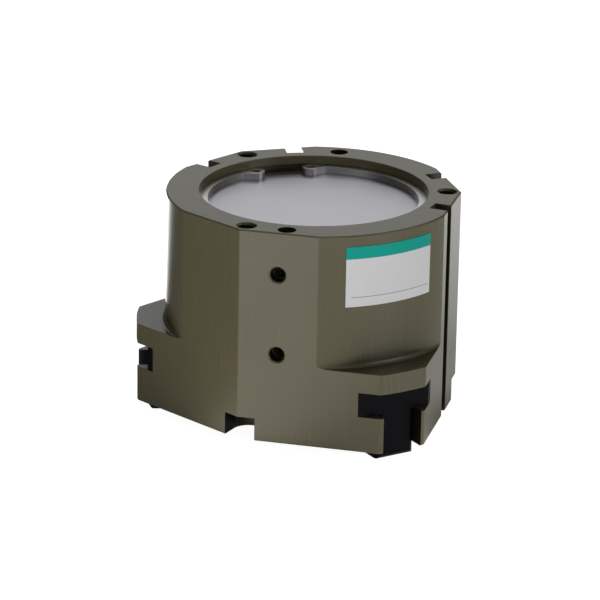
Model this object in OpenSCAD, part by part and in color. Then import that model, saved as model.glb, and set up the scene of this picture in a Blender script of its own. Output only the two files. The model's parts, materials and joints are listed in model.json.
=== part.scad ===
// Three jaw centric gripper: a pneumatic piston drives a wedge cam, and the cam's three
// inclined T-slots draw three radial master jaws together.
// Origin: centre of the mounting face. The body hangs below it and the jaws point down (-Z).
// Every piece is drawn with the jaws closed: piston, rod and cam at the top of their stroke.

/* [Housing] */
// Radius of the round upper body
body_r = 41; // [40:0.5:43]
// Height of the housing, mounting face to jaw face
body_h = 60.3; // [60:0.1:64]
// Radius of the end face of the three jaw bosses
boss_r = 49; // [47.5:0.1:52]
// Height of the jaw bosses, up from the jaw face
boss_h = 22.8; // [21:0.2:25]
// Distance from the axis to each of the six side flats
flat_d = 39.45; // [39.3:0.05:40]
// Angle between a mounting corner and the normal of the flats beside it
flat_a = 15.2; // [14:0.1:17]
// Width of the narrow land left on each mounting corner, between its two flats
corner_land = 0.3; // [0.2:0.05:0.6]
// Radius of the fillet where the round body meets the ledge of a boss
ledge_fillet = 1; // [0.4:0.1:2]
// Rounding of the upright corners of a boss
boss_corner = 1.5; // [0.5:0.1:2.5]
// Chamfer along the outer edges
edge_c = 0.3; // [0.1:0.05:0.6]

/* [Bore and head cover] */
// Diameter of the cylinder bore
bore_d = 63; // [61:0.5:63]
// Diameter of the head cover's seat, just over the bore
seat_d = 63.4; // [63.4:0.1:65]
// Chamfer at the mouth of the seat
mouth_c = 0.15; // [0.1:0.05:0.5]
// Depth of the retaining ring groove below the mounting face
ring_z = 2.4; // [2:0.1:3]
// Thickness of the retaining ring
ring_t = 2; // [1.5:0.1:2.5]
// Depth of the retaining ring groove into the wall
ring_groove = 1.3; // [1:0.1:1.5]
// Width of the ring between its outer and inner edge, opposite the gap
ring_w = 4.1; // [3:0.1:5]
// Width of the ring beside its lugs
ring_end_w = 3.3; // [2.6:0.1:3.9]
// Middle of the ring's gap, as an angle from +X
ring_gap_a = 107; // [100:1:112]
// Angle between the two lug centres of the ring
ring_lug_a = 32.4; // [26:0.2:36]
// Radius of each lug
lug_r = 2.5; // [2.2:0.1:2.8]
// Angle over which each lug runs out into the ring's inner edge
lug_blend_a = 8.5; // [7:0.5:12]
// Diameter of the plier hole in each lug
lug_hole_d = 2.6; // [2:0.1:3]
// Thickness of the head cover's flange
cover_t = 5.6; // [5:0.1:6.5]
// Diameter of the head cover's lower spigot
spigot_d = 54; // [50:1:56]
// Height of the head cover's lower spigot
spigot_h = 1.6; // [1:0.1:2]
// Thickness of the head cover's O-ring
cover_ring_d = 2; // [1.6:0.1:2.4]

/* [Piston] */
// Stroke of the piston
piston_stroke = 9; // [7:0.5:9.5]
// Height of the piston
piston_h = 14.2; // [13.6:0.1:14.6]
// How far the piston's relieved ends lie inside the bore
relief_w = 2; // [1.5:0.1:2.5]
// Height of the relief at the top of the piston
relief_top = 1.2; // [1:0.1:1.5]
// Height of the relief at the bottom of the piston
relief_base = 2.5; // [2.3:0.1:2.8]
// Width of the position magnet
magnet_w = 2.6; // [2:0.1:2.8]
// Width of the piston packing
packing_w = 3.4; // [3:0.1:3.6]
// Width of the wear ring
wear_w = 2; // [1.6:0.1:2.2]
// Depth of the packing groove, from the bore
packing_d = 3.1; // [2.5:0.1:3.5]
// Inside diameter of the upper cushion ring
bumper_top_d = 26; // [24:1:28]
// Inside diameter of the lower cushion ring
bumper_base_d = 47; // [46:1:50]
// Radial width of both cushion rings
bumper_w = 3; // [2:0.5:3.5]
// Depth of the cushion rings' grooves
bumper_groove = 1; // [0.8:0.1:1.2]
// How far each cushion ring stands out of its groove
bumper_proud = 0.25; // [0.2:0.05:0.4]

/* [Rod and wedge cam] */
// Diameter of the piston rod
rod_d = 14; // [12:0.5:15]
// Radius of the wedge cam
cam_r = 16; // [15.6:0.1:16.5]
// Distance from the axis to the cam's flanks at its top
flank_d = 15; // [14.8:0.1:15.4]
// Width of the neck of each inclined T-slot
neck_w = 5; // [4.4:0.1:5.4]
// Width of the head of each inclined T-slot
head_w = 9; // [8:0.1:9.4]
// Length of the neck, measured level
neck_l = 2.2; // [1.8:0.1:2.4]
// Length of the head, measured level
head_l = 2.8; // [2.2:0.1:3]
// Diameter of the hub that carries the rod packing
hub_d = 40; // [39:0.5:42]
// Rise of the hub above the chamber floor
hub_rise = 5.2; // [4.8:0.1:5.6]
// Thickness of the hub, from its top to the cam chamber
hub_t = 5.6; // [5.2:0.1:5.9]
// Diameter of the rod packing
rod_packing_d = 21; // [19:0.5:22]
// Height of the rod packing
rod_packing_h = 2.8; // [2.4:0.1:3]
// Diameter of the washer that retains the rod packing
retainer_d = 25; // [24:0.5:27]
// Thickness of the washer that retains the rod packing
retainer_t = 1; // [0.8:0.1:1.2]
// Thread size of the piston bolt
bolt_d = 5; // [4:0.5:5.5]
// Diameter of the rod's locating spigot
rod_spigot_d = 9; // [8:0.5:10]
// Height of the rod's locating spigot
rod_spigot_h = 1.5; // [1.2:0.1:1.8]

/* [Jaws] */
// Stroke of each jaw, outwards
jaw_stroke = 4; // [3:0.25:4]
// Width of the upper slot that guides a jaw's wings
wing_w = 23; // [21:0.5:23]
// Height of the upper slot
wing_h = 6.9; // [6:0.1:8]
// Depth of the upper slot's roof below the mounting face
wing_z = 43.2; // [42:0.1:43.5]
// Width of the lower slot that a jaw's stem runs in
stem_w = 12; // [11:0.5:12.5]
// Distance from the axis to a jaw's outer end when closed
jaw_end = 45.6; // [44:0.1:47]
// How far a jaw's stem stands out of the housing
jaw_proud = 2.9; // [1:0.1:3.5]
// Bevel of a jaw's upright outer corners
jaw_corner = 1.4; // [0.5:0.1:1.8]
// Bevel at the foot of a jaw's outer end
jaw_foot = 1; // [0.3:0.1:1.5]
// Distance of the inner finger screw hole from the axis
finger_r = 27; // [26:0.5:29]
// Spacing of a jaw's two finger screw holes
finger_pitch = 13; // [10:0.5:14]
// Tapping diameter of the finger screw holes
finger_hole_d = 4.2; // [3.3:0.1:5]
// Depth of the finger screw holes
finger_hole_z = 9; // [7:0.5:11]

/* [Mounting and ports] */
// Pitch circle diameter of the three mounting holes
mount_pcd = 74; // [73:0.5:75]
// Tapping diameter of the mounting holes
mount_d = 5; // [4.2:0.1:5.2]
// Length of the tapped part of the mounting holes
mount_tap = 12; // [8:1:20]
// Diameter of the through part of the mounting holes
mount_clear_d = 5.3; // [5.2:0.1:5.5]
// Width of the bolt pockets under the mounting holes
pocket_w = 9.3; // [9:0.1:11]
// Height of the bolt pockets
pocket_h = 6.5; // [5:0.1:8]
// Distance from the axis to the centre of a bolt pocket's round end
pocket_r = 34.4; // [34:0.1:36]
// Pitch circle diameter of the two dowel holes
dowel_pcd = 72.6; // [72.4:0.1:72.8]
// Diameter of the dowel holes
dowel_d = 5; // [4:0.5:5]
// Depth of the dowel holes
dowel_z = 6; // [4:0.5:8]
// Angle of the first dowel hole from +X
dowel_a = -102.3; // [-103.5:0.1:-101.5]
// Tapping diameter of the air ports
port_d = 4.2; // [3.3:0.1:4.2]
// Depth of the air ports
port_l = 5.5; // [4:0.1:6]
// Diameter of the passages from the ports to the bore
passage_d = 2.5; // [2:0.1:2.5]
// Chamfer at the mouth of the tapped holes
thread_c = 0.35; // [0.2:0.05:0.5]

/* [Switch grooves] */
// Width of the four switch grooves
groove_w = 4.8; // [4:0.1:5.2]
// Distance from the axis to the floor of the switch grooves
groove_r = 34.8; // [34.2:0.1:36]
// Angle of each switch groove from its mounting corner
groove_a = 22; // [20:0.5:23]

/* [Bottom cover] */
// Diameter of the bottom cover
base_d = 40; // [39.4:0.1:40.4]
// Thickness of the bottom cover
base_t = 1.7; // [1.4:0.1:2]
// Thread size of the bottom cover's screws
base_screw_d = 2; // [1.6:0.1:2.2]
// Pitch circle diameter of the bottom cover's screws
base_screw_pcd = 35.4; // [35.2:0.1:35.8]
// Length of the bottom cover's screws
base_screw_l = 5; // [4:0.5:6]

/* [Label] */
// Width of the label around the body
label_w = 27.1; // [20:0.1:30]
// Height of the label
label_h = 16.9; // [10:0.1:18]
// Depth of the label's top edge below the mounting face
label_z = 3.2; // [2:0.1:5]
// Angle of the label's middle from +X
label_a = -59.6; // [-65:0.1:-55]
// Thickness of the label
label_t = 0.12; // [0.1:0.01:0.2]

/* [Clearances] */
// Running clearance of the jaws in their slots
guide_c = 0.05; // [0.03:0.01:0.1]
// Running clearance between jaw hooks and cam, measured level
wedge_c = 0.12; // [0.08:0.01:0.2]
// Radial clearance of packings, wear ring and rod
run_c = 0.1; // [0.05:0.01:0.1]
// Radial clearance of pieces that sit still in a seat
seat_c = 0.05; // [0.03:0.01:0.1]
// Free gap left at each end of a stroke
stop_gap = 0.3; // [0.2:0.05:0.5]
// Free gap between the cam and the chamber around it
cam_gap = 0.3; // [0.25:0.05:0.5]

/* [Hidden] */
$fn = 96;
small_fn = 32;
over = 1;

// The three mounting corners and, between them, the three jaw bosses
corner_angles = [0, 120, 240];
boss_angles = [300, 180, 60];
// Two corners carry switch grooves; the third carries the ports on its right hand flat
groove_corners = [0, 120];
port_a = 240 + flat_a;

// Depths are measured down from the mounting face
ledge_z = body_h - boss_h;
cover_top = ring_z + ring_t + 2 * seat_c;
seat_z = cover_top + cover_t;
cover_base = seat_z + spigot_h;
piston_top = cover_base + bumper_proud + stop_gap;
piston_base = piston_top + piston_h;
floor_z = piston_base + piston_stroke + stop_gap + bumper_proud;
hub_top = floor_z - hub_rise;
chamber_top = hub_top + hub_t;
base_top = body_h - base_t;
cam_top = chamber_top + cam_gap;
cam_base = base_top - cam_gap - piston_stroke;
port_gap = 0.55;
port_upper_z = seat_z + passage_d / 2 + port_gap;
port_lower_z = floor_z - passage_d / 2 - seat_c;

// Piston lands and grooves, stacked from the top
land = (piston_h - relief_top - relief_base - magnet_w - packing_w - wear_w) / 4;
magnet_top = piston_top + relief_top + land;
packing_top = magnet_top + magnet_w + land;
wear_top = packing_top + packing_w + land;
piston_gap = 0.3;
piston_r = bore_d / 2 - piston_gap;
packing_r = bore_d / 2 - packing_d;
relief_d = bore_d - 2 * relief_w;
magnet_back = 0.6;
magnet_r = relief_d / 2 - magnet_back;
recess_r = hub_d / 2 + cam_gap;
recess_z = hub_top - piston_stroke - stop_gap;

// Piston bolt: head sunk in the piston, thread in the rod
bolt_head_ratio = 1.7;
bolt_head_d = bolt_d * bolt_head_ratio;
bolt_sink = 0.6;
bolt_seat = piston_top + bolt_sink + bolt_d;
bolt_reach = 10;
tap_ratio = 0.84;
gasket_d = 1.2;
// Corner width of a hex socket, as a share of the thread size: cap screw, countersunk screw
hex_ratio = 0.92;
flat_hex_ratio = 0.7;

// The wedge: how far the flanks move sideways for each millimetre of piston travel
slope = jaw_stroke / piston_stroke;
jaw_top = wing_z + guide_c;
hook_base = base_top - cam_gap;
stem_in = base_d / 2 + 2 * cam_gap;
wing_in = cam_r + 2 * cam_gap;
chamber_r = cam_r + cam_gap;
// The tongues of neighbouring jaws stay this far apart, which sets how deep they reach
tongue_gap = 0.3;
tongue_in = (head_w / 2 + tongue_gap) / tan(60);
tongue_base = cam_top + (flank_d - tongue_in - neck_l - head_l - wedge_c) / slope;

// Level distance from the axis to the cam's flank at a depth, at rest
function flank(z) = flank_d - (z - cam_top) * slope;

// A disc, a ring or a cone between two depths
module disc(r, top, base) {
    translate([0, 0, -base]) cylinder(r = r, h = base - top);
}

module ring(r_out, r_in, top, base) {
    difference() {
        disc(r_out, top, base);
        disc(r_in, top - over, base + over);
    }
}

module cone(r_top, r_base, top, base) {
    translate([0, 0, -base]) cylinder(r1 = r_base, r2 = r_top, h = base - top);
}

// A round section bent to a ring
module o_ring(r, section_d, z) {
    translate([0, 0, -z]) rotate_extrude() translate([r, 0]) circle(d = section_d, $fn = small_fn);
}

// A block in a boss's own frame, where x runs outwards along the jaw
module rail(x_in, x_out, w, top, base) {
    translate([x_in, -w / 2, -base]) cube([x_out - x_in, w, base - top]);
}

// ---------- housing ----------

// The six flats, which meet in pairs at the mounting corners and at the bosses
module flats_plan() {
    half = corner_land / 2;
    corner = flat_d / cos(flat_a) - half * tan(flat_a);
    boss = flat_d / cos(60 - flat_a);
    polygon([for (a = corner_angles) each [
        corner * [cos(a), sin(a)] - half * [-sin(a), cos(a)],
        corner * [cos(a), sin(a)] + half * [-sin(a), cos(a)],
        boss * [cos(a + 60), sin(a + 60)],
    ]]);
}

module body_plan(r) {
    intersection() {
        circle(r = r);
        flats_plan();
    }
}

// What is taken off one upright corner of a boss, beside the flat whose normal is at a
module corner_trim(a, side) {
    // centre of the rounding: boss_corner inside both the flat and the end face
    c_in = flat_d - boss_corner;
    c_side = sqrt(pow(boss_r - boss_corner, 2) - pow(c_in, 2));
    c_a = atan2(c_side, c_in);
    centre = [c_in, side * c_side];
    reach = boss_corner + over;
    rotate(a) difference() {
        polygon([
            centre,
            centre + [reach, 0],
            centre + 2 * reach * [cos(c_a / 2), side * sin(c_a / 2)],
            centre + reach * [cos(c_a), side * sin(c_a)],
        ]);
        translate(centre) circle(r = boss_corner, $fn = 64);
    }
}

module boss_plan() {
    difference() {
        body_plan(boss_r);
        for (a = corner_angles, side = [-1, 1]) corner_trim(a + side * flat_a, side);
    }
}

// Concave fillet between the round body and the three ledges
module ledge_fillets() {
    intersection() {
        translate([0, 0, -ledge_z]) rotate_extrude() difference() {
            translate([body_r - over, 0]) square([ledge_fillet + over, ledge_fillet]);
            translate([body_r + ledge_fillet, ledge_fillet]) circle(r = ledge_fillet, $fn = 64);
        }
        translate([0, 0, -ledge_z]) linear_extrude(ledge_fillet) flats_plan();
    }
}

// 45 degree chamfer along the flats at a depth, and along a round edge of radius r
module flat_chamfers(z) {
    side = edge_c * sqrt(2);
    for (a = corner_angles, s = [-1, 1]) {
        rotate(a + s * flat_a) translate([flat_d, 0, -z]) rotate([0, 45, 0])
            cube([side, 2 * body_r, side], center = true);
    }
}

module round_chamfer(r, z, down) {
    translate([0, 0, -z]) mirror([0, 0, down ? 1 : 0]) rotate_extrude()
        polygon([[r - edge_c, 0], [r + over, 0], [r + over, -edge_c - over], [r, -edge_c]]);
}

// Bore, head cover seat, retaining ring groove and the chamber of the wedge cam
module bore_space() {
    disc(seat_d / 2, -over, seat_z);
    cone(seat_d / 2 + mouth_c + over, seat_d / 2, -over, mouth_c);
    disc(seat_d / 2 + ring_groove, ring_z, ring_z + ring_t + 3 * seat_c);
    ring(bore_d / 2, hub_d / 2, seat_z - over, floor_z);
    disc(hub_d / 2 + over, seat_z - over, hub_top);
    ring(bumper_base_d / 2 + bumper_w, bumper_base_d / 2, floor_z - over, floor_z + bumper_groove);
    disc(retainer_d / 2, hub_top - over, hub_top + retainer_t);
    disc(rod_packing_d / 2, hub_top, hub_top + retainer_t + rod_packing_h + seat_c);
    disc(rod_d / 2 + run_c, hub_top, chamber_top + over);
    disc(chamber_r, chamber_top, body_h + over);
    disc(base_d / 2 + seat_c, base_top, body_h + over);
    at_base_screws() disc(base_screw_d * tap_ratio / 2 + seat_c,
        body_h - base_screw_l - stop_gap, base_top + over);
}

// T-slot of one jaw, open at the bottom, at the end and into the cam chamber
module jaw_slot() {
    rail(0, boss_r + over, wing_w, wing_z, wing_z + wing_h);
    rail(0, boss_r + over, stem_w, wing_z, body_h + over);
}

// Tapped hole from the top, through hole below it and an open pocket for the bolt head
module mounting_hole() {
    translate([mount_pcd / 2, 0]) {
        disc(mount_d / 2, -over, mount_tap);
        disc(mount_clear_d / 2, mount_tap, body_h);
        cone(mount_d / 2 + thread_c + over, mount_d / 2, -over, thread_c);
    }
    translate([pocket_r, 0]) disc(pocket_w / 2, body_h - pocket_h, body_h + over);
    rail(pocket_r, body_r + over, pocket_w, body_h - pocket_h, body_h + over);
}

module dowel_hole() {
    translate([dowel_pcd / 2, 0]) disc(dowel_d / 2, -over, dowel_z);
}

// Tapped port in the flat, with its passage into the bore
module port(z) {
    translate([flat_d, 0, -z]) rotate([0, -90, 0]) {
        translate([0, 0, -over]) cylinder(d = port_d, h = port_l + over);
        translate([0, 0, -over])
            cylinder(r1 = port_d / 2 + thread_c + over, r2 = port_d / 2, h = thread_c + over);
        cylinder(d = passage_d, h = flat_d - bore_d / 2 + over, $fn = small_fn);
    }
}

module switch_groove() {
    rail(groove_r, boss_r, groove_w, -over, body_h + over);
}

module housing() {
    color("#6f6757") difference() {
        union() {
            translate([0, 0, -body_h]) linear_extrude(body_h) body_plan(body_r);
            translate([0, 0, -body_h]) linear_extrude(boss_h) boss_plan();
            ledge_fillets();
        }
        flat_chamfers(0);
        flat_chamfers(body_h);
        round_chamfer(body_r, 0, false);
        round_chamfer(boss_r, body_h, true);
        bore_space();
        for (a = boss_angles) rotate(a) jaw_slot();
        for (a = corner_angles) rotate(a) mounting_hole();
        for (a = [dowel_a, dowel_a + 180]) rotate(a) dowel_hole();
        for (z = [port_upper_z, port_lower_z]) rotate(port_a) port(z);
        for (a = groove_corners, s = [-1, 1]) rotate(a + s * groove_a) switch_groove();
    }
}

// ---------- head cover and what holds it ----------

cover_r = seat_d / 2 - seat_c;
cover_ring_r = cover_r - cover_ring_d / 2;
// Width of an O-ring's groove, as a share of the O-ring's thickness
groove_ratio = 1.3;

module head_cover() {
    groove_mid = cover_top + cover_t / 2;
    groove_half = cover_ring_d * groove_ratio / 2;
    color("#a9a9ad") difference() {
        union() {
            disc(cover_r, cover_top, seat_z);
            disc(spigot_d / 2, seat_z - over, cover_base);
        }
        round_chamfer(cover_r, cover_top, false);
        ring(seat_d, cover_ring_r - cover_ring_d / 2 - seat_c,
            groove_mid - groove_half, groove_mid + groove_half);
        ring(bumper_top_d / 2 + bumper_w, bumper_top_d / 2, cover_base - bumper_groove, cover_base + over);
    }
}

module cover_seal() {
    color("#26262a") o_ring(cover_ring_r, cover_ring_d, cover_top + cover_t / 2);
}

ring_top = ring_z + seat_c;
ring_r = seat_d / 2 + ring_groove - seat_c;
ring_mid_w = (ring_w + ring_end_w) / 2;

ring_in_r = ring_r - ring_mid_w;
ring_shift = (ring_w - ring_end_w) / 2;
lug_at = seat_d / 2 - lug_r - seat_c;

// Centre of the lug on side s of the gap, in the ring's frame, where the gap lies on +X
lug_centre = lug_at * [cos(ring_lug_a / 2), -sin(ring_lug_a / 2)];

// The lug on one side of the gap, with a straight run-out from its round edge into the ring
module lug_plan() {
    foot_a = ring_lug_a / 2 + lug_blend_a;
    foot_r = ring_in_r + seat_c;
    foot = [ring_shift + foot_r * cos(foot_a), -foot_r * sin(foot_a)];
    to_foot = foot - lug_centre;
    // the run-out starts just inside the round edge, and ends just inside the ring
    start_r = lug_r - seat_c;
    start_a = atan2(to_foot[1], to_foot[0]) - acos(start_r / norm(to_foot));
    translate(lug_centre) circle(r = lug_r, $fn = 48);
    polygon([
        lug_centre,
        lug_centre + start_r * [cos(start_a), sin(start_a)],
        foot,
        foot * ring_r / (ring_r - ring_end_w / 2),
        lug_centre * (lug_at + lug_r / 2) / lug_at,
    ]);
}

// Spring steel ring: its inner edge is a circle set off towards the gap, so it tapers to the lugs
module ring_plan() {
    gap_end = 2 * ring_r * [cos(ring_lug_a / 2), sin(ring_lug_a / 2)];
    difference() {
        union() {
            difference() {
                circle(r = ring_r);
                translate([ring_shift, 0]) circle(r = ring_in_r);
                // the gap
                polygon([[0, 0], [gap_end[0], -gap_end[1]], gap_end]);
            }
            lug_plan();
            mirror([0, 1]) lug_plan();
        }
        translate(lug_centre) circle(d = lug_hole_d, $fn = small_fn);
        mirror([0, 1]) translate(lug_centre) circle(d = lug_hole_d, $fn = small_fn);
    }
}

module retaining_ring() {
    color("#8d8f92") translate([0, 0, -ring_top - ring_t]) rotate(ring_gap_a)
        linear_extrude(ring_t) ring_plan();
}

// Cushion rings that stop the piston, one in the head cover and one in the chamber floor
module upper_cushion() {
    color("#2c2c2e") ring(bumper_top_d / 2 + bumper_w - seat_c, bumper_top_d / 2 + seat_c,
        cover_base - bumper_groove, cover_base + bumper_proud);
}

module lower_cushion() {
    color("#2c2c2e") ring(bumper_base_d / 2 + bumper_w - seat_c, bumper_base_d / 2 + seat_c,
        floor_z - bumper_proud, floor_z + bumper_groove);
}

// ---------- piston ----------

module piston() {
    color("#b9bbbe") difference() {
        union() {
            disc(relief_d / 2, piston_top, piston_base);
            disc(piston_r, piston_top + relief_top, piston_base - relief_base);
        }
        ring(bore_d, magnet_r, magnet_top, magnet_top + magnet_w);
        ring(bore_d, packing_r, packing_top, packing_top + packing_w);
        ring(bore_d, relief_d / 2, wear_top, wear_top + wear_w);
        disc(recess_r, recess_z, piston_base + over);
        disc(rod_spigot_d / 2 + seat_c, recess_z - rod_spigot_h - seat_c, piston_base);
        ring(rod_spigot_d / 2 + seat_c + gasket_d, rod_spigot_d / 2,
            recess_z - gasket_d + seat_c, recess_z + over);
        disc(bolt_head_d / 2 + piston_gap, piston_top - over, bolt_seat);
        disc(bolt_d / 2 + seat_c, piston_top, piston_base, $fn = small_fn);
    }
}

module piston_packing() {
    color("#1f1f22") ring(bore_d / 2 - run_c, packing_r + seat_c,
        packing_top + seat_c, packing_top + packing_w - seat_c);
}

module piston_magnet() {
    color("#3b3a3d") ring(piston_r - seat_c, magnet_r + seat_c,
        magnet_top + seat_c, magnet_top + magnet_w - seat_c);
}

module wear_ring() {
    color("#7b5a3a") ring(bore_d / 2 - run_c, relief_d / 2 + seat_c,
        wear_top + seat_c, wear_top + wear_w - seat_c);
}

module piston_bolt() {
    hex_d = bolt_d * hex_ratio;
    color("#303033") difference() {
        union() {
            disc(bolt_head_d / 2, bolt_seat - bolt_d, bolt_seat);
            disc(bolt_d * tap_ratio / 2, bolt_seat - over, bolt_seat + bolt_reach);
        }
        translate([0, 0, -bolt_seat + bolt_d / 2]) cylinder(d = hex_d, h = bolt_d, $fn = 6);
    }
}

module rod_gasket() {
    color("#26262a") o_ring(rod_spigot_d / 2 + seat_c + gasket_d / 2, gasket_d - 2 * seat_c,
        recess_z - gasket_d / 2 + seat_c);
}

// ---------- rod with wedge cam ----------

// An upright plate in a boss's own frame, cut to the slope of the flanks between two depths
module sloped(w, x_in, x_out, top, base) {
    rotate([90, 0, 0]) translate([0, 0, -w / 2]) linear_extrude(w) polygon([
        [flank(top) + x_in, -top],
        [flank(top) + x_out, -top],
        [flank(base) + x_out, -base],
        [flank(base) + x_in, -base],
    ]);
}

// The inclined T-slot that holds one jaw's tongue, and the flat flank around it
module cam_slot() {
    top = cam_top - over;
    base = cam_base + over;
    sloped(2 * cam_r, 0, cam_r, top, base);
    sloped(neck_w + 2 * wedge_c, -neck_l - over / 2, over, top, base);
    sloped(head_w + 2 * wedge_c, -neck_l - head_l - 2 * wedge_c, -neck_l, top, base);
}

module wedge_cam_rod() {
    color("#8f9194") difference() {
        union() {
            disc(cam_r, cam_top, cam_base);
            disc(rod_d / 2, recess_z, cam_top + over);
            disc(rod_spigot_d / 2, recess_z - rod_spigot_h, recess_z + over);
        }
        for (a = boss_angles) rotate(a) cam_slot();
        disc(bolt_d * tap_ratio / 2 + seat_c, recess_z - rod_spigot_h - over,
            bolt_seat + bolt_reach + over, $fn = small_fn);
    }
}

module rod_packing() {
    color("#1f1f22") ring(rod_packing_d / 2 - seat_c, rod_d / 2 + run_c,
        hub_top + retainer_t + seat_c, hub_top + retainer_t + rod_packing_h);
}

module packing_retainer() {
    color("#9a9ca0") ring(retainer_d / 2 - seat_c, rod_d / 2 + cam_gap, hub_top, hub_top + retainer_t);
}

// ---------- jaws ----------

// Plan of a jaw's wings or stem, with bevelled outer corners
module jaw_plan(x_in, w) {
    polygon([
        [x_in, -w / 2],
        [jaw_end - jaw_corner, -w / 2],
        [jaw_end, jaw_corner - w / 2],
        [jaw_end, w / 2 - jaw_corner],
        [jaw_end - jaw_corner, w / 2],
        [x_in, w / 2],
    ]);
}

module jaw_bar(x_in, w, top, base) {
    translate([0, 0, -base]) linear_extrude(base - top) jaw_plan(x_in, w);
}

module master_jaw() {
    wings = wing_w - 2 * guide_c;
    stem = stem_w - 2 * guide_c;
    stem_base = body_h + jaw_proud;
    color("#1d1e22") difference() {
        union() {
            jaw_bar(wing_in, wings, jaw_top, wing_z + wing_h - guide_c);
            jaw_bar(stem_in, stem, jaw_top, stem_base);
            rail(flank(tongue_base) + wedge_c, stem_in + over, stem, jaw_top, hook_base);
            sloped(neck_w, -neck_l - wedge_c - over / 2, stem_in - wing_in, jaw_top, tongue_base);
            sloped(head_w, -neck_l - head_l - wedge_c, -neck_l - wedge_c, jaw_top, tongue_base);
        }
        // the face that lies along the cam's flank, either side of the tongue
        difference() {
            sloped(stem + over, -cam_r, wedge_c, jaw_top - over, tongue_base);
            sloped(head_w, -cam_r - over, -neck_l - wedge_c, jaw_top - 2 * over, tongue_base + over);
            sloped(neck_w, -cam_r - over, over + wedge_c, jaw_top - 2 * over, tongue_base + over);
        }
        for (x = [finger_r, finger_r + finger_pitch]) translate([x, 0]) {
            disc(finger_hole_d / 2, stem_base - finger_hole_z, stem_base + over, $fn = small_fn);
            cone(finger_hole_d / 2, finger_hole_d / 2 + thread_c + over,
                stem_base - thread_c, stem_base + over);
        }
        // bevel at the foot of the outer end
        translate([jaw_end, 0, -stem_base]) rotate([0, 45, 0])
            cube([jaw_foot * sqrt(2), 2 * stem_w, jaw_foot * sqrt(2)], center = true);
    }
}

module master_jaw_a() {
    rotate(boss_angles[0]) master_jaw();
}

module master_jaw_b() {
    rotate(boss_angles[1]) master_jaw();
}

module master_jaw_c() {
    rotate(boss_angles[2]) master_jaw();
}

// ---------- bottom cover ----------

screw_head_h = 0.4 * base_screw_d;
screw_head_r = base_screw_d / 2 + screw_head_h;

module at_base_screws() {
    for (a = corner_angles) rotate(a) translate([base_screw_pcd / 2, 0]) children();
}

module bottom_cover() {
    color("#9b9da1") difference() {
        disc(base_d / 2, base_top, body_h);
        at_base_screws() {
            disc(base_screw_d / 2 + seat_c, base_top - over, body_h + over);
            cone(base_screw_d / 2 + seat_c, screw_head_r + seat_c, body_h - screw_head_h, body_h);
        }
    }
}

module bottom_cover_screws() {
    color("#303033") at_base_screws() {
        difference() {
            union() {
                cone(base_screw_d / 2, screw_head_r, body_h - screw_head_h, body_h);
                disc(base_screw_d * tap_ratio / 2, body_h - base_screw_l, body_h - screw_head_h / 2);
            }
            disc(base_screw_d * flat_hex_ratio / 2, body_h - screw_head_h, body_h + over, $fn = 6);
        }
    }
}

// ---------- label ----------

// Film of glue between the label and the body
label_gap = 0.03;

module label() {
    sweep = label_w / body_r * 180 / PI;
    color("#d9d9d6") rotate(label_a - sweep / 2) translate([0, 0, -label_z - label_h])
        rotate_extrude(angle = sweep) translate([body_r + label_gap, 0]) square([label_t, label_h]);
}

housing();
head_cover();
cover_seal();
retaining_ring();
upper_cushion();
lower_cushion();
piston();
piston_packing();
piston_magnet();
wear_ring();
wedge_cam_rod();
rod_gasket();
piston_bolt();
rod_packing();
packing_retainer();
master_jaw_a();
master_jaw_b();
master_jaw_c();
bottom_cover();
bottom_cover_screws();
label();
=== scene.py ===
import json
import math

import bpy
from mathutils import Matrix, Vector


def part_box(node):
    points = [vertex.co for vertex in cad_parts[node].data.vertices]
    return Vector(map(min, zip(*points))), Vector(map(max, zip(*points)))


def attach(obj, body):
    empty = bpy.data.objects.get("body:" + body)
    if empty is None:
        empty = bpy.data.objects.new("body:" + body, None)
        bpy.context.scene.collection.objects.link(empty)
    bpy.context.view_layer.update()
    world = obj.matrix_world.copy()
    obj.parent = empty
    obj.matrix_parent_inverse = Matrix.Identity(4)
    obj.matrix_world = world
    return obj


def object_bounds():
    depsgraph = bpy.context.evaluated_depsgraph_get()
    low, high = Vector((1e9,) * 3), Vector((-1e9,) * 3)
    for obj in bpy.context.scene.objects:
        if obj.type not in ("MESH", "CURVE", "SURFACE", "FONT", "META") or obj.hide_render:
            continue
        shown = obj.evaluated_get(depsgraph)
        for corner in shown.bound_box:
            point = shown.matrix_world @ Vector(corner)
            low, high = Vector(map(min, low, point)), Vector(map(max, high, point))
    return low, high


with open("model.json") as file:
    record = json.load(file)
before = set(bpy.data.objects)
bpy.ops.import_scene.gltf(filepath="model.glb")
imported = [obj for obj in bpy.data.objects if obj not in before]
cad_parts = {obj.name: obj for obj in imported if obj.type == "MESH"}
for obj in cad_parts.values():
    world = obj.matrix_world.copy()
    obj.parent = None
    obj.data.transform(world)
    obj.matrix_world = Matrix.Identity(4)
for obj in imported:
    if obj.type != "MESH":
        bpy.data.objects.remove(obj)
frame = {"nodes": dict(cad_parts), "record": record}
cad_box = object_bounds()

MM = 0.001
MICRON = 0.001 * MM
RECORD = frame["record"]
MOUNTS = {mount["name"]: mount for mount in RECORD["mounts"]}
LOW, HIGH = cad_box
WHITE = (1.0, 1.0, 1.0, 1.0)
NOISE_SPAN = (0.3, 0.7)  # nearly all values of a noise pattern lie between these


# ---------------------------------------------------------------- shader building blocks


def new_group(name, inputs, outputs):
    """An empty shader node group with named sockets: its tree, given values and results."""
    tree = bpy.data.node_groups.new(name, "ShaderNodeTree")
    for label, kind, value in inputs:
        socket = tree.interface.new_socket(label, in_out="INPUT", socket_type=kind)
        if value is not None:
            socket.default_value = value
    for label, kind in outputs:
        tree.interface.new_socket(label, in_out="OUTPUT", socket_type=kind)
    return tree, tree.nodes.new("NodeGroupInput").outputs, tree.nodes.new("NodeGroupOutput").inputs


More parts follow.
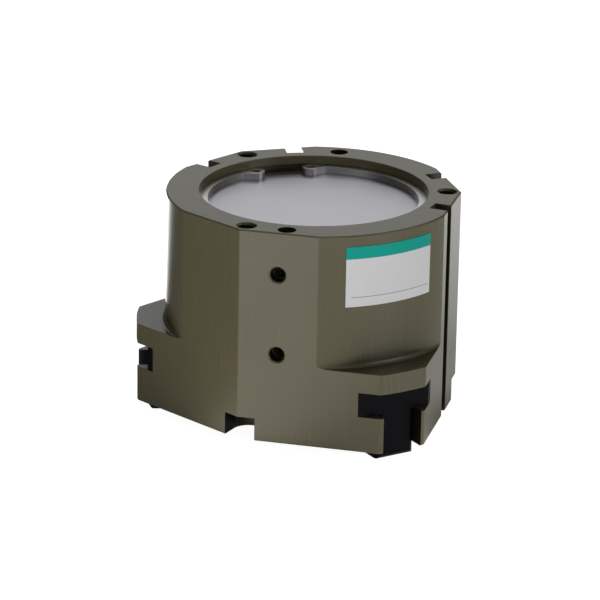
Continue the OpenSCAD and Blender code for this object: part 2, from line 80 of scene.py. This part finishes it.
def add_node(tree, kind, links=(), **values):
    """One node: values are attributes, links are (input, source socket or constant) pairs."""
    node = tree.nodes.new(kind)
    for name, value in values.items():
        setattr(node, name, value)
    for name, source in links:
        if isinstance(source, bpy.types.NodeSocket):
            tree.links.new(source, node.inputs[name])
        else:
            node.inputs[name].default_value = source
    return node


def calculate(tree, operation, *values):
    """The result of a math node on sockets or constants."""
    return add_node(tree, "ShaderNodeMath", enumerate(values), operation=operation).outputs[0]


def vector_math(tree, operation, *values):
    """The outputs of a vector math node, a Vector and a Value."""
    return add_node(tree, "ShaderNodeVectorMath", enumerate(values), operation=operation).outputs


def flattened(tree, place):
    """A place with 0 for its Z, so that its length is its distance from the Z axis."""
    split = add_node(tree, "ShaderNodeSeparateXYZ", [(0, place)]).outputs
    return add_node(tree, "ShaderNodeCombineXYZ", [("X", split["X"]), ("Y", split["Y"])]).outputs[0]


def machining_lines():
    """Fine lines left by a cutter or brush, each of them Length times longer along Z than across."""
    tree, given, result = new_group(
        "machining_lines",
        [
            ("Vector", "NodeSocketVector", None),
            ("Lines per metre", "NodeSocketFloat", 2500.0),
            ("Length", "NodeSocketFloat", 40.0),
        ],
        [("Value", "NodeSocketFloat")],
    )
    across = given["Lines per metre"]
    along = calculate(tree, "DIVIDE", across, given["Length"])
    scale = add_node(tree, "ShaderNodeCombineXYZ", [("X", across), ("Y", across), ("Z", along)])
    noise = add_node(tree, "ShaderNodeTexNoise", [
        ("Vector", vector_math(tree, "MULTIPLY", given["Vector"], scale.outputs[0])["Vector"]),
        ("Scale", 1.0),
        ("Detail", 3.0),
        ("Roughness", 0.6),
    ])
    tree.links.new(noise.outputs["Fac"], result["Value"])
    return tree


def mottling():
    """Slow, cloudy change over a surface, as anodising, rolling and handling leave."""
    tree, given, result = new_group(
        "mottling",
        [("Vector", "NodeSocketVector", None), ("Patches per metre", "NodeSocketFloat", 80.0)],
        [("Value", "NodeSocketFloat")],
    )
    noise = add_node(tree, "ShaderNodeTexNoise", [
        ("Vector", given["Vector"]),
        ("Scale", given["Patches per metre"]),
        ("Detail", 4.0),
        ("Roughness", 0.55),
    ])
    tree.links.new(noise.outputs["Fac"], result["Value"])
    return tree


def turned_rings():
    """Concentric marks of a facing cut round the Z axis."""
    tree, given, result = new_group(
        "turned_rings",
        [("Vector", "NodeSocketVector", None), ("Rings per metre", "NodeSocketFloat", 3000.0)],
        [("Value", "NodeSocketFloat")],
    )
    radius = vector_math(tree, "LENGTH", flattened(tree, given["Vector"]))["Value"]
    noise = add_node(tree, "ShaderNodeTexNoise", [
        ("W", calculate(tree, "MULTIPLY", radius, given["Rings per metre"])),
        ("Scale", 1.0),
        ("Detail", 2.0),
    ], noise_dimensions="1D")
    tree.links.new(noise.outputs["Fac"], result["Value"])
    return tree


def grain():
    """Fine even grain of a blasted, moulded or oxidised surface."""
    tree, given, result = new_group(
        "grain",
        [("Vector", "NodeSocketVector", None), ("Grains per metre", "NodeSocketFloat", 4000.0)],
        [("Value", "NodeSocketFloat")],
    )
    noise = add_node(tree, "ShaderNodeTexNoise", [
        ("Vector", given["Vector"]),
        ("Scale", given["Grains per metre"]),
        ("Detail", 2.0),
        ("Roughness", 0.7),
    ])
    tree.links.new(noise.outputs["Fac"], result["Value"])
    return tree


def broken_edges():
    """Normals that bend over sharp edges, as on an edge broken by a file or a tumbler."""
    tree, given, result = new_group(
        "broken_edges",
        [("Radius", "NodeSocketFloat", 0.2 * MM)],
        [("Normal", "NodeSocketVector")],
    )
    bevel = add_node(tree, "ShaderNodeBevel", [("Radius", given["Radius"])], samples=4)
    tree.links.new(bevel.outputs["Normal"], result["Normal"])
    return tree


GROUPS = {
    build.__name__: build()
    for build in (machining_lines, mottling, turned_rings, grain, broken_edges)
}


class Finish:
    """One material: a Principled shader, and short calls that wire patterns into it."""

    LEVEL_FACE = 0.7  # the Z of a level face's normal is beyond this
    UPRIGHT_WALL = 0.1  # the Z of an upright wall's normal is below this
    SQUARE_WALL = 0.9997  # the sine of three times a square wall's heading is beyond this
    SLOT_SHADE_ABOVE = 0.5 * MM  # how far over the jaws' tops the painted shade on the slot walls reaches

    def __init__(self, name, color, metallic, roughness, **constants):
        self.material = bpy.data.materials.new(name)
        self.material.use_nodes = True
        self.tree = self.material.node_tree
        self.shader = self.tree.nodes["Principled BSDF"]
        self.shader.inputs["Base Color"].default_value = (*color, 1.0)
        self.shader.inputs["Metallic"].default_value = metallic
        self.shader.inputs["Roughness"].default_value = roughness
        for socket, value in constants.items():
            self.shader.inputs[socket.replace("_", " ")].default_value = value
        own = add_node(self.tree, "ShaderNodeTexCoord").outputs
        self.place = own["Object"]
        self.facing = own["Normal"]
        self.color = None
        self.normal = None

    def pattern(self, group, place=None, **values):
        """The value of one pattern group on the piece's own coordinates, or on a given place."""
        node = add_node(self.tree, "ShaderNodeGroup", node_tree=GROUPS[group])
        self.tree.links.new(place or self.place, node.inputs["Vector"])
        for socket, value in values.items():
            node.inputs[socket.replace("_", " ")].default_value = value
        return node.outputs["Value"]

    def split(self, vector):
        """The X, Y and Z of a vector."""
        return add_node(self.tree, "ShaderNodeSeparateXYZ", [(0, vector)]).outputs

    def step(self, operation, *values):
        """The result of a math node in this material."""
        return calculate(self.tree, operation, *values)

    def turned_place(self):
        """The piece's own coordinates with X in the place of Z."""
        own = self.split(self.place)
        return add_node(self.tree, "ShaderNodeCombineXYZ", [
            ("X", own["Y"]),
            ("Y", own["Z"]),
            ("Z", own["X"]),
        ]).outputs[0]

    def level_mask(self):
        """1 on faces that look up or down, 0 on walls."""
        slope = self.step("ABSOLUTE", self.split(self.facing)["Z"])
        return self.step("GREATER_THAN", slope, self.LEVEL_FACE)

    def slot_shade_mask(self):
        """1 on the upright walls that stand square to a jaw's or a bolt pocket's direction, which get
        painted shade.
        """
        facing = self.split(self.facing)
        # the sine of three times the direction's angle is 1 or -1 at every sixth of a turn
        cube = self.step("POWER", facing["Y"], 3.0)
        sine = self.step("MULTIPLY_ADD", cube, -4.0, self.step("MULTIPLY", facing["Y"], 3.0))
        square = self.step("GREATER_THAN", self.step("ABSOLUTE", sine), self.SQUARE_WALL)
        upright = self.step("LESS_THAN", self.step("ABSOLUTE", facing["Z"]), self.UPRIGHT_WALL)
        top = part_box("master_jaw_a")[1].z + self.SLOT_SHADE_ABOVE
        low = self.step("LESS_THAN", self.split(self.place)["Z"], top)
        return self.step("MULTIPLY", self.step("MULTIPLY", square, upright), low)

    def mix(self, mask, off, on):
        """The first value where the mask is 0, the second where it is 1."""
        return add_node(self.tree, "ShaderNodeMix", [("Factor", mask), ("A", off), ("B", on)],
            data_type="FLOAT").outputs["Result"]

    def openness(self, reach):
        """How open the surroundings are within reach: 1 on a free face, near 0 deep in a hole."""
        return add_node(self.tree, "ShaderNodeAmbientOcclusion", [("Distance", reach)],
            samples=8, only_local=True).outputs["AO"]

    def soften_edges(self, radius):
        """Catches light along sharp edges as a broken edge of this radius does."""
        edges = add_node(self.tree, "ShaderNodeGroup", node_tree=GROUPS["broken_edges"])
        edges.inputs["Radius"].default_value = radius
        self.bend(edges.outputs["Normal"])

    def spread(self, value, low, high, between=NOISE_SPAN):
        """A value that runs between two limits, made to run from low to high."""
        return add_node(self.tree, "ShaderNodeMapRange", [
            ("Value", value),
            ("From Min", between[0]),
            ("From Max", between[1]),
            ("To Min", low),
            ("To Max", high),
        ]).outputs["Result"]

    def blend(self, share, off, on):
        """A base colour that runs from one colour to another with a share from 0 to 1."""
        mix = add_node(self.tree, "ShaderNodeMix", [("Factor", share)], data_type="RGBA")
        for socket, color in (("A", off), ("B", on)):
            if isinstance(color, bpy.types.NodeSocket):
                self.tree.links.new(color, mix.inputs[socket])
            else:
                mix.inputs[socket].default_value = (*color, 1.0)
        self.take(mix.outputs["Result"])

    def tint(self, value, dark, light):
        """A base colour that runs from dark to light with a pattern, over any set before."""
        self.blend(self.spread(value, 0.0, 1.0), dark, light)

    def shade(self, value, low, high, between=NOISE_SPAN):
        """The base colour made darker or lighter by a pattern."""
        amount = self.spread(value, low, high, between)
        mix = add_node(self.tree, "ShaderNodeMix", [("Factor", 1.0)],
            data_type="RGBA", blend_type="MULTIPLY")
        self.tree.links.new(self.color, mix.inputs["A"])
        grey = add_node(self.tree, "ShaderNodeCombineColor", [(0, amount), (1, amount), (2, amount)])
        self.tree.links.new(grey.outputs[0], mix.inputs["B"])
        self.take(mix.outputs["Result"])

    def take(self, color):
        """Sets the base colour to that of a socket."""
        self.color = color
        self.tree.links.new(color, self.shader.inputs["Base Color"])

    def bend(self, normal):
        """Sets the shading normal to that of a socket."""
        self.normal = normal
        self.tree.links.new(normal, self.shader.inputs["Normal"])

    def rough(self, value, low, high):
        """Roughness that runs from low to high with a pattern."""
        self.tree.links.new(self.spread(value, low, high), self.shader.inputs["Roughness"])

    def bump(self, value, depth):
        """Relief of the given depth from a pattern, added to any relief set before."""
        node = add_node(self.tree, "ShaderNodeBump", [
            ("Height", value),
            ("Strength", 1.0),
            ("Distance", depth),
        ])
        if self.normal is not None:
            self.tree.links.new(self.normal, node.inputs["Normal"])
        self.bend(node.outputs["Normal"])


# ---------------------------------------------------------------- finishes


def hard_anodised():
    """Olive brown hard anodising: upright brush lines on the walls, lines along X on level faces, and
    painted shade in holes, slots and pockets.
    """
    f = Finish("hard_anodised", (0.124, 0.11, 0.055), 0.0, 0.26, IOR=1.52)
    f.soften_edges(0.35 * MM)
    upright = f.pattern("machining_lines", Lines_per_metre=2600.0, Length=45.0)
    level = f.pattern("machining_lines", f.turned_place(), Lines_per_metre=2600.0, Length=45.0)
    lines = f.mix(f.level_mask(), upright, level)
    f.tint(f.pattern("mottling", Patches_per_metre=45.0), (0.119, 0.106, 0.052), (0.129, 0.115, 0.057))
    f.shade(lines, 0.955, 1.045)
    # painted shade: the insides of holes, slots and pockets are darkened by how closed in they are
    f.shade(f.openness(16.0 * MM), 0.12, 1.0, (0.45, 0.95))
    # painted shade: the walls of the jaw slots are darkened further
    f.shade(f.slot_shade_mask(), 1.0, 0.15, (0.4, 0.6))
    f.rough(lines, 0.247, 0.275)
    f.bump(lines, 0.3 * MICRON)
    return f.material


def machined_cover():
    """Pale satin aluminium with faint turned rings."""
    f = Finish("machined_cover", (0.55, 0.545, 0.58), 1.0, 0.42)
    rings = f.pattern("turned_rings", Rings_per_metre=2400.0)
    f.tint(f.pattern("mottling", Patches_per_metre=40.0), (0.54, 0.535, 0.57), (0.57, 0.565, 0.6))
    f.shade(rings, 0.985, 1.015)
    f.rough(rings, 0.4, 0.45)
    f.bump(rings, 1.0 * MICRON)
    return f.material


def spring_steel():
    """Stamped steel of the retaining ring and the packing's washer, bright on its edges."""
    f = Finish("spring_steel", (0.6, 0.6, 0.6), 1.0, 0.3)
    f.soften_edges(0.2 * MM)
    f.tint(f.pattern("mottling", Patches_per_metre=160.0), (0.55, 0.55, 0.54), (0.64, 0.64, 0.63))
    lines = f.pattern("machining_lines", Lines_per_metre=5000.0, Length=0.2)
    f.rough(lines, 0.27, 0.33)
    f.bump(lines, 0.8 * MICRON)
    return f.material


def black_oxide_jaw():
    """Blue-black oxide on ground steel."""
    f = Finish("black_oxide_jaw", (0.003, 0.003, 0.005), 0.0, 0.42, Specular_IOR_Level=0.07)
    clouds = f.pattern("mottling", Patches_per_metre=120.0)
    marks = f.pattern("grain", Grains_per_metre=3500.0)
    f.tint(clouds, (0.0035, 0.0035, 0.0055), (0.0055, 0.0055, 0.0085))
    f.rough(marks, 0.36, 0.5)
    f.bump(marks, 4.0 * MICRON)
    return f.material


def ground_steel():
    """Bright ground steel of the cam, rod and cover plate."""
    f = Finish("ground_steel", (0.55, 0.55, 0.57), 1.0, 0.3)
    lines = f.pattern("machining_lines", Lines_per_metre=3500.0, Length=0.05)
    f.tint(f.pattern("mottling", Patches_per_metre=90.0), (0.48, 0.48, 0.5), (0.6, 0.6, 0.62))
    f.rough(lines, 0.24, 0.4)
    f.bump(lines, 4.0 * MICRON)
    return f.material


def turned_alloy():
    """Turned aluminium of the piston."""
    f = Finish("turned_alloy", (0.68, 0.68, 0.7), 1.0, 0.34)
    rings = f.pattern("turned_rings", Rings_per_metre=3600.0)
    f.tint(f.pattern("mottling", Patches_per_metre=60.0), (0.62, 0.62, 0.64), (0.72, 0.72, 0.74))
    f.rough(rings, 0.26, 0.42)
    f.bump(rings, 5.0 * MICRON)
    return f.material


def seal_rubber():
    """Matte black nitrile rubber."""
    f = Finish("seal_rubber", (0.018, 0.018, 0.02), 0.0, 0.72)
    marks = f.pattern("grain", Grains_per_metre=6000.0)
    f.tint(f.pattern("mottling", Patches_per_metre=150.0), (0.015, 0.015, 0.017), (0.024, 0.024, 0.026))
    f.rough(marks, 0.62, 0.8)
    f.bump(marks, 10.0 * MICRON)
    return f.material


def bonded_magnet():
    """Dark grey bonded magnet."""
    f = Finish("bonded_magnet", (0.06, 0.056, 0.06), 0.0, 0.6)
    marks = f.pattern("grain", Grains_per_metre=4500.0)
    f.tint(marks, (0.045, 0.042, 0.045), (0.075, 0.07, 0.075))
    f.rough(marks, 0.5, 0.7)
    f.bump(marks, 8.0 * MICRON)
    return f.material


def wear_resin():
    """Brown filled resin of the wear ring."""
    f = Finish("wear_resin", (0.2, 0.11, 0.06), 0.0, 0.55)
    marks = f.pattern("grain", Grains_per_metre=3000.0)
    f.tint(marks, (0.16, 0.088, 0.045), (0.25, 0.14, 0.08))
    f.rough(marks, 0.45, 0.62)
    f.bump(marks, 6.0 * MICRON)
    return f.material


def black_screw():
    """Black oxide of the screws and the piston bolt."""
    f = Finish("black_screw", (0.02, 0.02, 0.022), 0.6, 0.4)
    marks = f.pattern("grain", Grains_per_metre=5000.0)
    f.tint(f.pattern("mottling", Patches_per_metre=300.0), (0.015, 0.015, 0.017), (0.03, 0.03, 0.032))
    f.rough(marks, 0.34, 0.5)
    f.bump(marks, 4.0 * MICRON)
    return f.material


def label_film():
    """White film with a teal band along its top and a thin grey rule near its foot, and no words."""
    band_height, rule_height, rule_width = 3.4 * MM, 2.65 * MM, 0.16 * MM
    low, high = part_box("label")
    rule_left, rule_right = low.x + 1.5 * MM, high.x - 0.5 * MM
    f = Finish("label_film", (0.82, 0.82, 0.83), 0.0, 0.35, Specular_IOR_Level=0.12)
    place = f.split(f.place)
    on_band = f.step("GREATER_THAN", place["Z"], high.z - band_height)
    on_rule = f.step("MULTIPLY",
        f.step("COMPARE", place["Z"], low.z + rule_height, rule_width / 2),
        f.step("COMPARE", place["X"], (rule_left + rule_right) / 2, (rule_right - rule_left) / 2))
    marks = f.pattern("grain", Grains_per_metre=2500.0)
    f.tint(marks, (0.79, 0.79, 0.80), (0.83, 0.83, 0.84))
    f.blend(on_rule, f.color, (0.25, 0.25, 0.26))
    f.blend(on_band, f.color, (0.006, 0.42, 0.34))
    f.rough(f.pattern("mottling", Patches_per_metre=200.0), 0.3, 0.42)
    f.bump(marks, 2.0 * MICRON)
    return f.material


SLOT_FINISH = {
    "hard_anodised_housing": hard_anodised(),
    "machined_cover": machined_cover(),
    "spring_steel": spring_steel(),
    "black_jaw_steel": black_oxide_jaw(),
    "ground_cam_steel": ground_steel(),
    "piston_alloy": turned_alloy(),
    "seal_rubber": seal_rubber(),
    "magnet": bonded_magnet(),
    "wear_resin": wear_resin(),
    "black_screw_steel": black_screw(),
    "label_film": label_film(),
}


def dress_nodes():
    """Gives every CAD node the finish of its record slot."""
    for part in RECORD["subparts"]:
        mesh = frame["nodes"][part["node"]].data
        mesh.materials.clear()
        mesh.materials.append(SLOT_FINISH[part["material_slot"]])


# ---------------------------------------------------------------- screw threads


THREAD_START = 0.4 * MM  # depth below a hole's mouth, at which its thread starts
THREAD_WIDTH = 0.4  # share of the pitch: half of it stands in the bore, half is in the wall
THREAD_HALF_HEIGHT = 0.18 * MM  # along the hole
THREAD_STEPS = 24  # faces round one turn
M5_PITCH, M6_PITCH = 0.8 * MM, 1.0 * MM
MOUNTING_LENGTH, FINGER_LENGTH = 11.0 * MM, 8.0 * MM


def helical_thread():
    """Geometry nodes: a right-handed ridge on the wall of a hole at every point of a given mesh.

    Each point lies where a thread starts, and its "bore" attribute points down the hole.
    """
    tree = bpy.data.node_groups.new("helical_thread", "GeometryNodeTree")
    tree.interface.new_socket("Holes", in_out="INPUT", socket_type="NodeSocketGeometry")
    for label in ("Radius", "Pitch", "Length", "Width", "Half height"):
        tree.interface.new_socket(label, in_out="INPUT", socket_type="NodeSocketFloat")
    tree.interface.new_socket("Steps per turn", in_out="INPUT", socket_type="NodeSocketInt")
    tree.interface.new_socket("Material", in_out="INPUT", socket_type="NodeSocketMaterial")
    tree.interface.new_socket("Thread", in_out="OUTPUT", socket_type="NodeSocketGeometry")
    given = tree.nodes.new("NodeGroupInput").outputs
    helix = add_node(tree, "GeometryNodeCurveSpiral", [
        ("Resolution", given["Steps per turn"]),
        ("Rotations", calculate(tree, "DIVIDE", given["Length"], given["Pitch"])),
        ("Start Radius", given["Radius"]),
        ("End Radius", given["Radius"]),
        ("Height", given["Length"]),
        ("Reverse", True),
    ])
    upright = add_node(tree, "GeometryNodeSetCurveNormal", [("Curve", helix.outputs["Curve"])],
        mode="Z_UP")
    section = add_node(tree, "GeometryNodeCurvePrimitiveQuadrilateral", [
        ("Width", given["Width"]),
        ("Bottom Height", given["Half height"]),
        ("Top Height", given["Half height"]),
    ], mode="KITE")
    ridge = add_node(tree, "GeometryNodeCurveToMesh", [
        ("Curve", upright.outputs["Curve"]),
        ("Profile Curve", section.outputs["Curve"]),
        ("Fill Caps", True),
    ])
    bore = add_node(tree, "GeometryNodeInputNamedAttribute", [("Name", "bore")],
        data_type="FLOAT_VECTOR")
    turned = add_node(tree, "FunctionNodeAlignRotationToVector",
        [("Vector", bore.outputs["Attribute"])], axis="Z")
    placed = add_node(tree, "GeometryNodeInstanceOnPoints", [
        ("Points", given["Holes"]),
        ("Instance", ridge.outputs["Mesh"]),
        ("Rotation", turned.outputs["Rotation"]),
    ])
    solid = add_node(tree, "GeometryNodeRealizeInstances", [("Geometry", placed.outputs["Instances"])])
    finished = add_node(tree, "GeometryNodeSetMaterial", [
        ("Geometry", solid.outputs["Geometry"]),
        ("Material", given["Material"]),
    ])
    tree.links.new(finished.outputs["Geometry"], tree.nodes.new("NodeGroupOutput").inputs["Thread"])
    return tree


def cut_threads(tree, name, body, slot, holes, radius, pitch, length):
    """Threads in one body's holes: holes are (mouth, direction into the hole) pairs."""
    mesh = bpy.data.meshes.new(name)
    mesh.from_pydata([mouth + THREAD_START * inward for mouth, inward in holes], [], [])
    bore = mesh.attributes.new("bore", "FLOAT_VECTOR", "POINT")
    for value, (_, inward) in zip(bore.data, holes):
        value.vector = inward
    piece = bpy.data.objects.new(name, mesh)
    bpy.context.scene.collection.objects.link(piece)
    threads = piece.modifiers.new("threads", "NODES")
    threads.node_group = tree
    given = {
        "Radius": radius,
        "Pitch": pitch,
        "Length": length,
        "Width": THREAD_WIDTH * pitch,
        "Half height": THREAD_HALF_HEIGHT,
        "Steps per turn": THREAD_STEPS,
        "Material": SLOT_FINISH[slot],
    }
    for item in tree.interface.items_tree:
        if item.name in given:
            threads[item.identifier] = given[item.name]
    made = piece.evaluated_get(bpy.context.evaluated_depsgraph_get())
    piece.data = bpy.data.meshes.new_from_object(made)
    piece.modifiers.clear()
    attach(piece, body)


def add_mounting_threads(tree):
    """M6 threads in the holes of the top face."""
    dims = MOUNTS["mounting_holes"]["dims"]
    holes = []
    for turn in range(dims["count"]):
        angle = 2 * math.pi * turn / dims["count"]
        place = Vector((math.cos(angle), math.sin(angle), 0.0)) * dims["pcd_mm"] / 2 * MM
        holes.append((place, Vector((0.0, 0.0, -1.0))))
    cut_threads(tree, "mounting_threads", "housing", "hard_anodised_housing", holes,
        dims["hole_r_mm"] * MM, M6_PITCH, MOUNTING_LENGTH)


def add_port_threads(tree):
    """M5 threads in the two air ports."""
    ports = [MOUNTS[name] for name in ("port_upper", "port_lower")]
    dims = ports[0]["dims"]
    cut_threads(tree, "port_threads", "housing", "hard_anodised_housing",
        [(Vector(port["pos_m"]), -Vector(port["axis"])) for port in ports],
        dims["r_mm"] * MM, M5_PITCH, dims["length_mm"] * MM - 2 * THREAD_START)


def add_finger_threads(tree, jaw):
    """M5 threads in the two finger holes of one jaw's foot."""
    mount = MOUNTS["finger_holes_" + jaw]
    dims = mount["dims"]
    middle = Vector(mount["pos_m"])
    outward = Vector((middle.x, middle.y, 0.0)).normalized() * dims["pcd_mm"] / 2 * MM
    holes = [(middle + side * outward, -Vector(mount["axis"])) for side in (-1, 1)]
    cut_threads(tree, "finger_threads_" + jaw, "jaw_" + jaw, "black_jaw_steel", holes,
        dims["hole_r_mm"] * MM, M5_PITCH, FINGER_LENGTH)


def add_threads():
    """All the threads, from one node tree."""
    tree = helical_thread()
    add_mounting_threads(tree)
    add_port_threads(tree)
    for jaw in "abc":
        add_finger_threads(tree, jaw)


# ---------------------------------------------------------------- studio

# The camera looks down at PITCH, is rolled by ROLL, and the part is turned by YAW under it.
# FOCAL_LENGTH and SENSOR_WIDTH are in millimetres.
PITCH = math.radians(19.613)
ROLL = math.radians(-1.012)
YAW = math.radians(0.968)
CAMERA_DISTANCE = 979.8 * MM
CAMERA_AIM = Vector((-3.32, 0.0, -32.48)) * MM
FOCAL_LENGTH = 210.04
SENSOR_WIDTH = 36.0
CLIP_START, CLIP_END = 0.05, 20.0

LIGHT_DISTANCE = 1.3
LOW_BOX, HIGH_BOX, TOP_BOX = (0.68, 0.62), (0.9, 0.75), (1.0, 0.8)
# name, azimuth in degrees from +X, elevation in degrees, size in metres, power in watts
LIGHTS = (
    ("left_low", -142, 12, LOW_BOX, 0.78),
    ("front_low", -90, 12, LOW_BOX, 0.5),
    ("front_right_low", -30, 12, LOW_BOX, 2.55),
    ("back_low", 90, 12, LOW_BOX, 0.9),
    ("front_top", -90, 60, TOP_BOX, 2.4),
    ("right_high", 0, 45, HIGH_BOX, 0.8),
    ("back_high", 90, 45, HIGH_BOX, 2.9),
)
WORLD_GLOW = 0.03

FLOOR_HALF_SIDE = 3.0
FLOOR_DROP = 0.02 * MM  # keeps the floor clear of the jaws' feet
PAPER_WHITE = 0.95  # how bright the camera sees the floor
PAPER, SHADED_PAPER = (0.8, 0.8, 0.8), (0.2, 0.2, 0.2)  # to the camera, to the part
# The floor's glow on the part. Radii are in metres from the part's middle.
NEAR_GLOW, FAR_GLOW = 1.0, 1.3
GLOW_RISE = (0.12, 0.3)  # from the near glow to the far one
UNDER_PART, UNDER_PART_GLOW = (0.038, 0.052), 0.05
GLOW_END = (0.6, 1.2)
# Sides where the glow is multiplied: azimuth in degrees from +X, factor, and the cosines of the
# angles off that azimuth between which the factor goes from 1 to its full value
GLOW_SIDES = (
    (172, 0.15, (0.62, 0.85)),
    (10, 0.45, (0.5, 0.9)),
    (60, 1.45, (0.9, 0.98)),
    (117, 5.0, (0.93, 0.985)),
    (144, 0.25, (0.945, 0.99)),
    (-68, 0.65, (0.88, 0.98)),
    (-90, 0.75, (0.96, 0.995)),
    (-121, 1.5, (0.88, 0.98)),
)


def add_camera():
    """A long lens above and in front of the part."""
    forward = Vector((0.0, math.cos(PITCH), -math.sin(PITCH)))
    right = Vector((1.0, 0.0, 0.0))
    up = right.cross(forward)
    image_x = right * math.cos(ROLL) - up * math.sin(ROLL)
    image_y = right * math.sin(ROLL) + up * math.cos(ROLL)
    # from the camera's frame, in which it looks along +Y, to the part's frame
    turn = Matrix.Rotation(-YAW, 3, "Z")
    axes = Matrix((turn @ image_x, turn @ image_y, turn @ -forward)).transposed()
    place = turn @ (CAMERA_AIM - forward * CAMERA_DISTANCE)
    data = bpy.data.cameras.new("camera")
    data.lens = FOCAL_LENGTH
    data.sensor_width = SENSOR_WIDTH
    data.clip_start = CLIP_START
    data.clip_end = CLIP_END
    camera = bpy.data.objects.new("camera", data)
    camera.matrix_world = Matrix.Translation(place) @ axes.to_4x4()
    bpy.context.scene.collection.objects.link(camera)
    bpy.context.scene.camera = camera


def add_softbox(name, azimuth, elevation, size, power):
    """An area light that faces the part's middle."""
    a, e = math.radians(azimuth), math.radians(elevation)
    centre = (LOW + HIGH) / 2
    toward = Vector((math.cos(a) * math.cos(e), math.sin(a) * math.cos(e), math.sin(e)))
    data = bpy.data.lights.new(name, "AREA")
    data.shape = "RECTANGLE"
    data.size, data.size_y = size
    data.energy = power
    light = bpy.data.objects.new(name, data)
    light.location = centre + LIGHT_DISTANCE * toward
    light.rotation_euler = (-toward).to_track_quat("-Z", "Y").to_euler()
    light.visible_camera = False
    bpy.context.scene.collection.objects.link(light)


def add_world():
    """A faint, even light from everywhere."""
    world = bpy.data.worlds.new("studio")
    world.use_nodes = True
    background = world.node_tree.nodes["Background"].inputs
    background["Color"].default_value = WHITE
    background["Strength"].default_value = WORLD_GLOW
    bpy.context.scene.world = world


def studio_floor():
    """Paper that is white to the camera, and glows on the part more from some sides than others."""
    f = Finish("studio_floor", PAPER, 0.0, 1.0, Specular_IOR_Level=0.0)
    flat = flattened(f.tree, f.place)
    radius = vector_math(f.tree, "LENGTH", flat)["Value"]
    heading = vector_math(f.tree, "NORMALIZE", flat)["Vector"]
    factors = [
        f.spread(radius, UNDER_PART_GLOW, 1.0, UNDER_PART),
        f.spread(radius, 1.0, 0.0, GLOW_END),
    ]
    for azimuth, full, cosines in GLOW_SIDES:
        a = math.radians(azimuth)
        side = (math.cos(a), math.sin(a), 0.0)
        toward = vector_math(f.tree, "DOT_PRODUCT", heading, side)["Value"]
        factors.append(f.spread(toward, 1.0, full, cosines))
    glow = f.spread(radius, NEAR_GLOW, FAR_GLOW, GLOW_RISE)
    for factor in factors:
        glow = f.step("MULTIPLY", glow, factor)
    seen = add_node(f.tree, "ShaderNodeLightPath").outputs["Is Camera Ray"]
    f.tree.links.new(f.mix(seen, glow, PAPER_WHITE), f.shader.inputs["Emission Strength"])
    f.shader.inputs["Emission Color"].default_value = WHITE
    f.blend(seen, SHADED_PAPER, PAPER)
    return f.material


def add_floor():
    """A floor just under the jaws' feet, large enough for every view."""
    side, z = FLOOR_HALF_SIDE, LOW.z - FLOOR_DROP
    corners = [(-side, -side, z), (side, -side, z), (side, side, z), (-side, side, z)]
    mesh = bpy.data.meshes.new("floor")
    mesh.from_pydata(corners, [], [(0, 1, 2, 3)])
    mesh.materials.append(studio_floor())
    floor = bpy.data.objects.new("floor", mesh)
    bpy.context.scene.collection.objects.link(floor)


bpy.context.scene.view_settings.view_transform = "Standard"
dress_nodes()
add_threads()
add_camera()
for light in LIGHTS:
    add_softbox(*light)
add_world()
add_floor()
